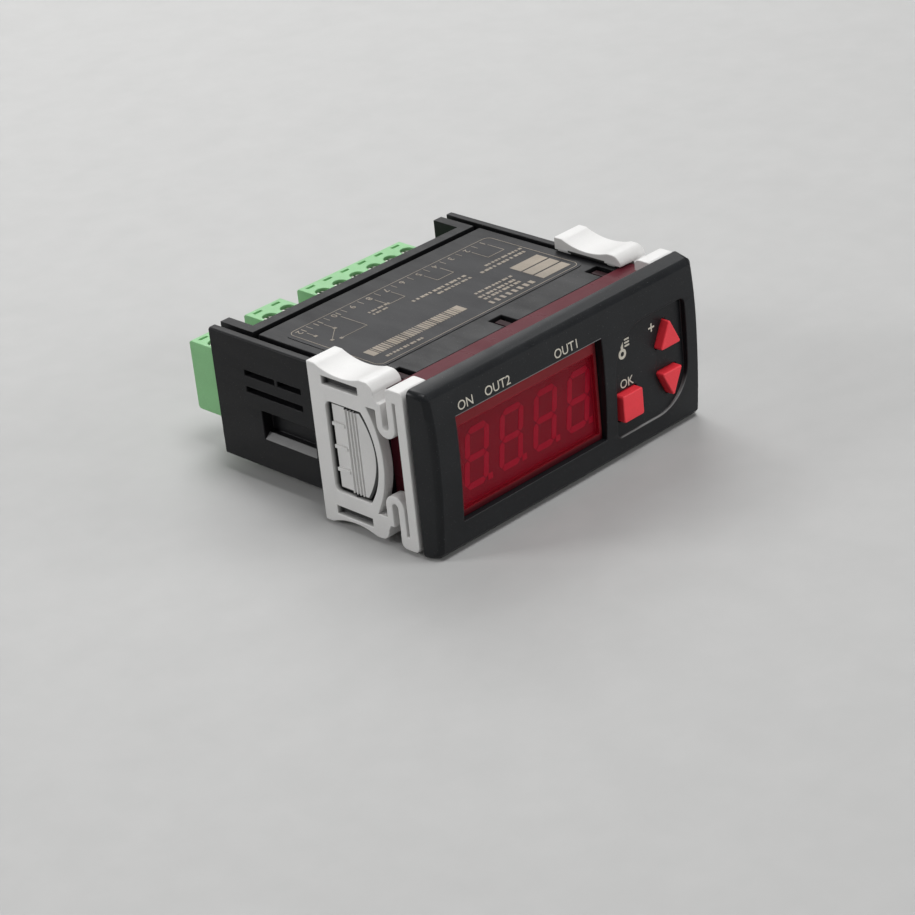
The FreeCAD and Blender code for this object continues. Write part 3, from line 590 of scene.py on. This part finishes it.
def white_moulding(name, depths, ringed=False):
    """White plastic with painted shade deep in the latch window and slots.

    The painted shade is full at the first of two distances off the middle and gone at the second. A ringed
    one also has painted shade along the bowed front and the sides of the latch, standing for the shade in
    its gap.
    """
    finish = settings("finish")

    def tint(tree, shader):
        axes = object_axes(tree)
        level = arithmetic(tree, "ABSOLUTE", axes["Z"])
        square = arithmetic(tree, "MULTIPLY", axes["Z"], axes["Z"])
        bowed = arithmetic(tree, "SUBTRACT", axes["Y"],
                           arithmetic(tree, "MULTIPLY", square, HOLLOW_BOW / HOLLOW_HALF ** 2))
        rear = ramped(tree, axes["Y"], (HOLLOW_WINDOW[1] - HOLLOW_SOFT, HOLLOW_WINDOW[1]), (1, 0))
        window = arithmetic(tree, "MULTIPLY", rear, field(
            tree, bowed, axes["Z"], HOLLOW_WINDOW, (-HOLLOW_HALF - MM, HOLLOW_HALF + MM), HOLLOW_SOFT))
        slots = field(tree, axes["Y"], level, (SLOT_LENGTH[0] - HOLLOW_SOFT, SLOT_LENGTH[1] + HOLLOW_SOFT),
                      (SLOT_LEVELS[0] - HOLLOW_SOFT, SLOT_LEVELS[1] + HOLLOW_SOFT), HOLLOW_SOFT)
        sunk = ramped(tree, arithmetic(tree, "ABSOLUTE", axes["X"]), depths, (1, 0))
        # Painted shade in the latch window and slots, full deep down and gone towards the outer face
        painted_shade = arithmetic(tree, "MULTIPLY", arithmetic(tree, "MAXIMUM", window, slots), sunk)
        if ringed:
            # A ringed latch also gets painted shade along its tip and sides, where its gap is shaded
            tip = ramped(tree, bowed, (GRIP_TIP, GRIP_TIP + HOLLOW_SOFT), (1, 0))
            sides = ramped(tree, level, (GRIP_SIDES - HOLLOW_SOFT, GRIP_SIDES), (0, 1))
            painted_shade = arithmetic(tree, "MAXIMUM", painted_shade, arithmetic(tree, "MAXIMUM", tip, sides))
        return mixed_colour(tree, painted_shade, finish.clamp, finish.painted_shade)

    return moulded(name, finish.clamp, 0.44, tone=0.05, grain=3500, relief=0.01, tint=tint)


def soft_red():
    """Soft plastic of the keys."""
    return moulded("soft_red", settings("finish").key, 0.5, tone=0.1, grain=4000)


def green_moulding():
    """Plastic of plugs and headers."""
    return moulded("green_moulding", settings("finish").terminal, 0.4, tone=0.1, grain=3800)


def dark_display():
    """Face of the display module."""
    return moulded("dark_display", settings("finish").display, 0.55, tone=0.15, grain=6000)


def red_segment():
    """Light bars of the digits."""
    return moulded("red_segment", settings("finish").segment, 0.5, tone=0.08, grain=6000)


def legend_cream():
    """Ink of the legends."""
    return moulded("legend_cream", settings("finish").legend, 0.55, tone=0.2, grain=9000, relief=0.003)


def label_ink():
    """Ink of the label."""
    return moulded("label_ink", settings("finish").print, 0.55, tone=0.35, grain=7000, relief=0.003)


def bright_plating():
    """Plated screws, pins and wire cages."""
    return moulded("bright_plating", settings("finish").steel, 0.34, tone=0.15, grain=2600, wipe=0.1,
                   relief=0.006, Metallic=1.0)


def laminated_core():
    """Stacked sheets of the transformer."""
    return moulded("laminated_core", settings("finish").core, 0.5, tone=0.5, grain=1400, wipe=0.12,
                   Metallic=0.8)


def board_lacquer():
    """Lacquer of the circuit boards."""
    return moulded("board_lacquer", settings("finish").board, 0.3, tone=0.5, grain=900, wipe=0.08,
                   relief=0.02)


def dull_part():
    """Black parts on the boards."""
    return moulded("dull_part", settings("finish").part, 0.45, tone=0.2, grain=3000)


# Stretches of the red moulding
DISPLAY_SOFT = 0.4 * MM
PANE_BACK = -1.0 * MM
PANE_FOOT = (-10.8 * MM, -8.8 * MM)
COLLAR_END = 9.95 * MM


def red_pane():
    """See-through red moulding: clear before the digits, cloudy round them and behind the bezel.

    Its foot and its tongues inside the case carry painted shade.
    """
    finish = settings("finish")
    cover = settings("print")

    def tint(tree, shader):
        low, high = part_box("led_display")
        axes = object_axes(tree)
        shown = field(tree, axes["X"], axes["Z"], (low[0], high[0]), (low[2], high[2]), DISPLAY_SOFT)
        depth = axes["Y"]
        front = arithmetic(tree, "LESS_THAN", depth, PANE_BACK)
        before = arithmetic(tree, "MULTIPLY", shown, front)
        alpha = ramped(tree, before, (0, 1), (cover.cloudy, cover.clear))
        tree.links.new(alpha, shader.inputs["Alpha"])
        # Painted shade on the tongues behind the collar
        back = arithmetic(tree, "GREATER_THAN", depth, COLLAR_END)
        behind = mixed_colour(tree, back, finish.collar, finish.tongue)
        # Painted shade: the margin darkens towards the pane's foot
        around = mixed_colour(tree, ramped(tree, axes["Z"], PANE_FOOT, (0, 1)), finish.foot, finish.margin)
        sheet = mixed_colour(tree, shown, around, finish.pane)
        return mixed_colour(tree, front, behind, sheet)

    return moulded("red_pane", finish.pane, 0.3, tone=0.08, grain=900, wipe=0.05, relief=0.002, tint=tint,
                   Specular_IOR_Level=0.04)


# Pieces
# Crown of the bezel's face: level of its peak line, reach of its edges and how far they fall back
CROWN_PEAK = 5.5 * MM
CROWN_REACH = 17.4 * MM
CROWN_FALL_LOW = 1.4 * MM
CROWN_FALL_HIGH = 1.0 * MM


def crown(z):
    """Depth of the bezel's face, which falls back from its peak line by the square of the distance."""
    off = z - CROWN_PEAK
    above = off > 0
    part = off / np.where(above, CROWN_REACH - CROWN_PEAK, CROWN_REACH + CROWN_PEAK)
    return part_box("front_bezel")[0][1] + np.where(above, CROWN_FALL_HIGH, CROWN_FALL_LOW) * part ** 2


class CONTROLLER_OT_bezel(bpy.types.Operator):
    """Crowned front frame with rolled edges."""
    bl_idname = "controller.bezel"
    bl_label = "Bezel"

    def execute(self, context):
        softened("front_bezel", "bezel", settings("edges").bezel, satin_bezel())
        return {"FINISHED"}


class CONTROLLER_OT_window(bpy.types.Operator):
    """Red filter, and the display behind it."""
    bl_idname = "controller.window"
    bl_label = "Window and display"

    def execute(self, context):
        softened("front_filter", "filter", settings("edges").filter, red_pane())
        paint(frame["nodes"]["led_display"], dark_display())
        paint(frame["nodes"]["led_segments"], red_segment())
        return {"FINISHED"}


class CONTROLLER_OT_keys(bpy.types.Operator):
    """Soft red keys."""
    bl_idname = "controller.keys"
    bl_label = "Keys"

    def execute(self, context):
        for node in ("set_key", "up_key", "down_key"):
            softened(node, node + "_cap", settings("edges").key, soft_red())
        return {"FINISHED"}


KEY_FLOOR = -4.15 * MM
INK_LIFT = 0.02 * MM

# Legends, in millimetres on the front view
WINDOW_WORDS = {"ON": -28.7, "OUT2": -19.9, "OUT1": -0.7}
WINDOW_WORD_LEVEL = 12.75
KEY_WORD = (16.8, -1.75)
THERMOMETER = (17.0, 5.8)
PLUS = (25.05, 7.05)
SIGN_LINE = 0.38


def on_crown(points):
    """Front view laid on the crowned face of the bezel."""
    x, z = points.T
    return np.stack([x, crown(z) - INK_LIFT, z], axis=1)


def on_key_floor(points):
    """Front view laid on the flat floor of the sunk key area."""
    x, z = points.T
    return np.stack([x, np.full_like(x, KEY_FLOOR - INK_LIFT), z], axis=1)


class CONTROLLER_OT_legends(bpy.types.Operator):
    """Small generic legends above the window and beside the keys."""
    bl_idname = "controller.legends"
    bl_label = "Legends"

    def execute(self, context):
        height = settings("print").legend
        words = [word(text, height, (x * MM, WINDOW_WORD_LEVEL * MM)) for text, x in WINDOW_WORDS.items()]
        printed("window_legends", words, on_crown, "body", legend_cream())
        signs = [word("OK", height, np.array(KEY_WORD) * MM), *thermometer(), plus_sign()]
        printed("key_legends", signs, on_key_floor, "body", legend_cream())
        return {"FINISHED"}


def thermometer():
    """Sign of a bulb, a stem and three marks beside it, drawn about its centre."""
    bulb = rounded_frame((-1.7, -0.1), (-1.9, -0.3), 0.75)
    stem = strokes([(-0.9, -0.02)], [(-0.9, 1.9)], 0.75)
    marks = np.array([(-0.1, 0.3), (-0.1, 1.0), (-0.1, 1.7)])
    parts = [band(bulb, 0.6), stem, strokes(marks, marks + (1.4, 0), SIGN_LINE)]
    return [((points + THERMOMETER) * MM, faces) for points, faces in parts]


def plus_sign():
    """One upright bar and an arm to each side of it, drawn about its centre."""
    arm = 0.9
    half = SIGN_LINE / 2
    starts = np.array([(0, -arm), (half, 0), (-half, 0)])
    ends = np.array([(0, arm), (arm, 0), (-arm, 0)])
    points, faces = strokes(starts, ends, SIGN_LINE)
    return (points + PLUS) * MM, faces


class CONTROLLER_OT_case(bpy.types.Operator):
    """Case, rear cover and the film on top."""
    bl_idname = "controller.case"
    bl_label = "Case"

    def execute(self, context):
        edges = settings("edges")
        softened("case", "case_shell", edges.case, satin_case())
        softened("rear_cover", "rear_shell", edges.cover, satin_case())
        paint(frame["nodes"]["rating_label"], label_film())
        return {"FINISHED"}


def on_label(points):
    """Plan view in millimetres laid on top of the label."""
    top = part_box("rating_label")[1][2]
    return np.column_stack([points * MM, np.full(len(points), top + INK_LIFT)])


# Label print, in millimetres on the plan of the label
TERMINALS = 12
NUMBER_START = -26.5
NUMBER_PITCH = 4.75
NUMBER_ROW = 43.0
TICK_DROP = 0.9
TICK_LENGTH = 1.9
BAR_X = (-26.3, -0.1)
BAR_Y = (22.1, 25.2)
BAR_COUNT = 34
BAR_WAVES = ((0.2, 2.4), (0.13, 5.1))
DASH_SWING = 0.2
DASH_PACE = 3.7
INK_SHARE = 0.62
LEAD_TOP = 41.6
LOADS = (((-7.3, -2.6), 37.5), ((6.9, 11.6), 37.6), ((21.1, 25.9), 36.8))
DOT = 0.7
FIELD_LEFT = 19.4
FIELD_LENGTH = 8.2
BORDER_X = (-28.6, 28.9)
BORDER_Y = (18.0, 44.6)
BORDER_ROUND = 1.6


def terminal_row():
    """Terminal numbers that read from behind, counted from the right, with a tick between neighbours."""
    height = settings("print").number / MM
    line = settings("print").line / MM
    x = NUMBER_START + NUMBER_PITCH * np.arange(TERMINALS)
    numbers = [word(str(TERMINALS - i), height, (x[i], NUMBER_ROW), turned=True) for i in range(TERMINALS)]
    ticks = np.stack([x[:-1] + NUMBER_PITCH / 2, np.full(TERMINALS - 1, NUMBER_ROW - TICK_DROP)], axis=1)
    return numbers + [strokes(ticks, ticks + (0, TICK_LENGTH), line)]


def striped_field():
    """Tan field crossed by dark stripes: bars side by side whose widths follow two sine waves."""
    step = (BAR_X[1] - BAR_X[0]) / BAR_COUNT
    place = np.arange(BAR_COUNT)
    width = step * (INK_SHARE + sum(swing * np.sin(place * pace) for swing, pace in BAR_WAVES))
    width[[0, 1, -2, -1]] = step
    middle = BAR_X[0] + step * (place + 0.5)
    low, high = (np.stack([middle, np.full(BAR_COUNT, y)], axis=1) for y in BAR_Y)
    return strokes(low, high, width[:, None])


def dashes(x, y, height, pitch):
    """Row of short dashes whose lengths follow a sine wave."""
    starts = np.arange(x[0], x[1], pitch)
    lengths = pitch * (INK_SHARE + DASH_SWING * np.sin(starts * DASH_PACE))
    level = np.full(len(starts), y)
    return strokes(np.stack([starts, level], 1), np.stack([starts + lengths, level], 1), height)


def load_sign(x, low):
    """Leads down from two terminals, joined at a low level."""
    left, right = x
    return [((left, LEAD_TOP), (left, low)), ((left, low), (right, low)), ((right, low), (right, LEAD_TOP))]


def wiring_lines():
    """Contact and load signs: leads from the numbers, a slanting contact arm and square dots."""
    line = settings("print").line / MM
    contact = [((-26.2, LEAD_TOP), (-26.2, 39.0)), ((-21.4, LEAD_TOP), (-21.4, 38.5)),
               ((-21.4, 38.5), (-25.4, 35.0)), ((-23.9, 33.9), (-19.0, 33.9)),
               ((-16.8, LEAD_TOP), (-16.8, 33.9)), ((-16.8, 33.9), (-19.0, 33.9))]
    loads = [lead for x, low in LOADS for lead in load_sign(x, low)]
    starts, ends = np.array(contact + loads).transpose(1, 0, 2)
    dots = np.array([(-21.4, 38.5), (-26.2, 39.0), (-23.9, 33.9), (-25.6, 34.8)])
    half = (DOT / 2, 0)
    return [strokes(starts, ends, line), strokes(dots - half, dots + half, DOT)]


def small_print():
    """Rows of dashes, each with its ends, level, height and pitch, and three plain fields."""
    rows = [((-24.9, -15.2), 20.0, 0.7, 0.95), ((-3.6, 11.2), 34.3, 0.8, 1.2), ((2.0, 11.2), 32.6, 0.7, 1.0),
            ((14.4, 27.6), 32.4, 0.8, 1.25), ((17.5, 27.6), 34.2, 0.7, 1.0), ((4.6, 16.2), 20.2, 1.5, 1.65),
            ((5.2, 16.2), 22.5, 0.8, 1.1), ((5.2, 16.2), 24.0, 0.8, 1.1), ((6.0, 16.2), 25.9, 0.7, 1.0),
            ((-12.5, -7.0), 38.0, 0.6, 0.9), ((-12.5, -8.5), 36.6, 0.6, 0.9)]
    starts = np.array([(FIELD_LEFT, 20.7), (FIELD_LEFT, 23.9), (FIELD_LEFT, 27.4)])
    heights = np.array([[2.6], [2.9], [3.2]])
    return [dashes(*row) for row in rows] + [strokes(starts, starts + (FIELD_LENGTH, 0), heights)]


class CONTROLLER_OT_label(bpy.types.Operator):
    """Tan print on the film: border, terminal numbers, wiring signs, stripes and rows of dashes."""
    bl_idname = "controller.label"
    bl_label = "Label print"

    def execute(self, context):
        line = settings("print").line / MM
        edge = band(rounded_frame(BORDER_X, BORDER_Y, BORDER_ROUND), line)
        groups = {"label_border": [edge, *wiring_lines()], "label_numbers": terminal_row(),
                  "label_stripes": [striped_field()], "label_dashes": small_print()}
        for name, parts in groups.items():
            printed(name, parts, on_label, "body", label_ink())
        return {"FINISHED"}


class CONTROLLER_OT_clamps(bpy.types.Operator):
    """White panel clamps and their rocking latches."""
    bl_idname = "controller.clamps"
    bl_label = "Clamps"

    def execute(self, context):
        edges = settings("edges")
        frame_white = white_moulding("frame_white", FRAME_DEPTHS)
        grip_white = white_moulding("grip_white", GRIP_DEPTHS, ringed=True)
        for side in ("left", "right"):
            softened("clamp_" + side, "clamp_%s_moulding" % side, edges.clamp, frame_white)
            softened("latch_" + side, "latch_%s_moulding" % side, edges.latch, grip_white)
        return {"FINISHED"}


class CONTROLLER_OT_terminals(bpy.types.Operator):
    """Green plugs and headers, with their screws and wire cages."""
    bl_idname = "controller.terminals"
    bl_label = "Terminals"

    def execute(self, context):
        edges = settings("edges")
        for group in PLUGS:
            softened("plug_" + group, "plug_%s_moulding" % group, edges.plug,
                     green_moulding())
            softened("screws_" + group, "screw_heads_" + group, edges.screw, bright_plating())
            paint(frame["nodes"]["header_" + group], green_moulding())
            paint(frame["nodes"]["cages_" + group], bright_plating())
        return {"FINISHED"}


class CONTROLLER_OT_boards(bpy.types.Operator):
    """Boards inside the case and the parts on them."""
    bl_idname = "controller.boards"
    bl_label = "Boards"

    def execute(self, context):
        finishes = {
            "display_board": board_lacquer, "main_board": board_lacquer, "key_switches": dull_part,
            "board_link": bright_plating, "output_relay": dull_part, "capacitors": dull_part,
            "controller_chip": dull_part, "transformer": laminated_core,
        }
        for node, finish in finishes.items():
            paint(frame["nodes"][node], finish())
        return {"FINISHED"}


class CONTROLLER_OT_studio(bpy.types.Operator):
    """Pale floor, soft lamps and the camera."""
    bl_idname = "controller.studio"
    bl_label = "Studio"

    def execute(self, context):
        add_floor()
        add_lamps()
        add_world()
        add_camera()
        context.scene.view_settings.view_transform = "Standard"
        return {"FINISHED"}


# Studio
FLOOR_HALF = 9.0
FLOOR_TURN = math.radians(45)
SWEEP = 0.5
SWEEP_START = 1.6
SWEEP_STEPS = 25


def add_floor():
    """Level sheet that sweeps up behind the object: a quarter circle between two straight runs."""
    turn = np.linspace(0, math.pi / 2, SWEEP_STEPS)
    y = np.concatenate([[-FLOOR_HALF], SWEEP_START + SWEEP * np.sin(turn), [SWEEP_START + SWEEP]])
    z = np.concatenate([[0], SWEEP * (1 - np.cos(turn)), [FLOOR_HALF]]) + SOLID_BOX[0][2]
    rows = len(y)
    x = np.tile([-FLOOR_HALF, FLOOR_HALF], (rows, 1))
    places = np.stack([x, np.stack([y, y], axis=1), np.stack([z, z], axis=1)], axis=2)
    cosine = math.cos(FLOOR_TURN)
    sine = math.sin(FLOOR_TURN)
    spin = np.array([[cosine, -sine, 0], [sine, cosine, 0], [0, 0, 1]])
    here = np.arange(rows - 1)
    faces = np.stack([2 * here, 2 * here + 1, 2 * here + 3, 2 * here + 2], axis=1)
    mesh = bpy.data.meshes.new("floor")
    mesh.from_pydata((places @ spin).reshape(-1, 3).tolist(), [], faces.tolist())
    mesh.polygons.foreach_set("use_smooth", np.ones(len(mesh.polygons), bool))
    floor = bpy.data.objects.new("floor", mesh)
    bpy.context.scene.collection.objects.link(floor)
    paint(floor, moulded("floor_sheet", settings("studio").floor, 0.7, tone=0.03, grain=60, wipe=0.02))


# Place, side and power of each soft box
SOFT_BOXES = {
    "back_box": ((0.33, 0.54, 0.6), 0.6, 4.35),
    "front_box": ((0.5, -0.85, 0.34), 0.4, 3.8),
    "left_box": ((-0.62, 0.5, 0.42), 0.25, 2.75),
}
OVERHEAD_PLACE = (0.05, -0.25, 0.9)
OVERHEAD_POWER = 1.5
OVERHEAD_SPREAD = math.radians(26)


def add_lamps():
    """Soft boxes behind, in front and to the left, and a broad even light from overhead."""
    for name, (place, side, power) in SOFT_BOXES.items():
        add_lamp(name, "AREA", place, power).size = side
    add_lamp("overhead", "SUN", OVERHEAD_PLACE, OVERHEAD_POWER).angle = OVERHEAD_SPREAD


def add_lamp(name, kind, place, power):
    """Lamp at a place, turned to the origin."""
    lamp = bpy.data.lights.new(name, kind)
    lamp.energy = power
    holder = bpy.data.objects.new(name, lamp)
    holder.location = place
    holder.rotation_euler = (-Vector(place)).to_track_quat("-Z", "Y").to_euler()
    bpy.context.scene.collection.objects.link(holder)
    return lamp


def add_world():
    """Even white light from all round."""
    world = bpy.data.worlds.new("studio_air")
    world.use_nodes = True
    air = world.node_tree.nodes["Background"]
    air.inputs["Color"].default_value = (1, 1, 1, 1)
    air.inputs["Strength"].default_value = settings("studio").world
    bpy.context.scene.world = world


SENSOR_WIDTH = 36
NEAR_LIMIT = 0.01


def add_camera():
    """Camera on a sphere round the origin, rolled and then moved in its own view plane."""
    studio = settings("studio")
    back = Vector((math.sin(studio.azimuth) * math.cos(studio.elevation),
                   -math.cos(studio.azimuth) * math.cos(studio.elevation), math.sin(studio.elevation)))
    level = Vector((0, 0, 1)).cross(back).normalized()
    rise = back.cross(level)
    right = math.cos(studio.roll) * level + math.sin(studio.roll) * rise
    up = -math.sin(studio.roll) * level + math.cos(studio.roll) * rise
    place = right * studio.shift_right + up * studio.shift_up + back * studio.distance
    lens = bpy.data.cameras.new("camera")
    lens.lens = studio.focal
    lens.sensor_width = SENSOR_WIDTH
    lens.clip_start = NEAR_LIMIT
    camera = bpy.data.objects.new("camera", lens)
    camera.matrix_world = Matrix.Translation(place) @ Matrix((right, up, back)).transposed().to_4x4()
    bpy.context.scene.collection.objects.link(camera)
    bpy.context.scene.camera = camera


class CONTROLLER_PT_panel(bpy.types.Panel):
    """Operators and settings of the controller."""
    bl_label = "Temperature controller"
    bl_space_type = "VIEW_3D"
    bl_region_type = "UI"
    bl_category = "Controller"

    def draw(self, context):
        for operator in OPERATORS:
            self.layout.operator(operator.bl_idname)
        for title, kind in SETTINGS.items():
            for name in kind.__annotations__:
                self.layout.prop(settings(title), name)


OPERATORS = (
    CONTROLLER_OT_bezel,
    CONTROLLER_OT_window,
    CONTROLLER_OT_keys,
    CONTROLLER_OT_legends,
    CONTROLLER_OT_case,
    CONTROLLER_OT_label,
    CONTROLLER_OT_clamps,
    CONTROLLER_OT_terminals,
    CONTROLLER_OT_boards,
    CONTROLLER_OT_studio,
)
SETTINGS = {
    "finish": ControllerFinish,
    "edges": ControllerEdges,
    "print": ControllerPrint,
    "studio": ControllerStudio,
}


def register():
    for kind in (*SETTINGS.values(), *OPERATORS, CONTROLLER_PT_panel):
        bpy.utils.register_class(kind)
    for name, kind in SETTINGS.items():
        setattr(bpy.types.Scene, "controller_" + name, bpy.props.PointerProperty(type=kind))


def unregister():
    for name in SETTINGS:
        delattr(bpy.types.Scene, "controller_" + name)
    for kind in (CONTROLLER_PT_panel, *reversed(OPERATORS), *reversed(SETTINGS.values())):
        bpy.utils.unregister_class(kind)


def main():
    """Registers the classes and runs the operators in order."""
    register()
    for operator in OPERATORS:
        area, name = operator.bl_idname.split(".")
        getattr(getattr(bpy.ops, area), name)()


if __name__ == "__main__":
    main()
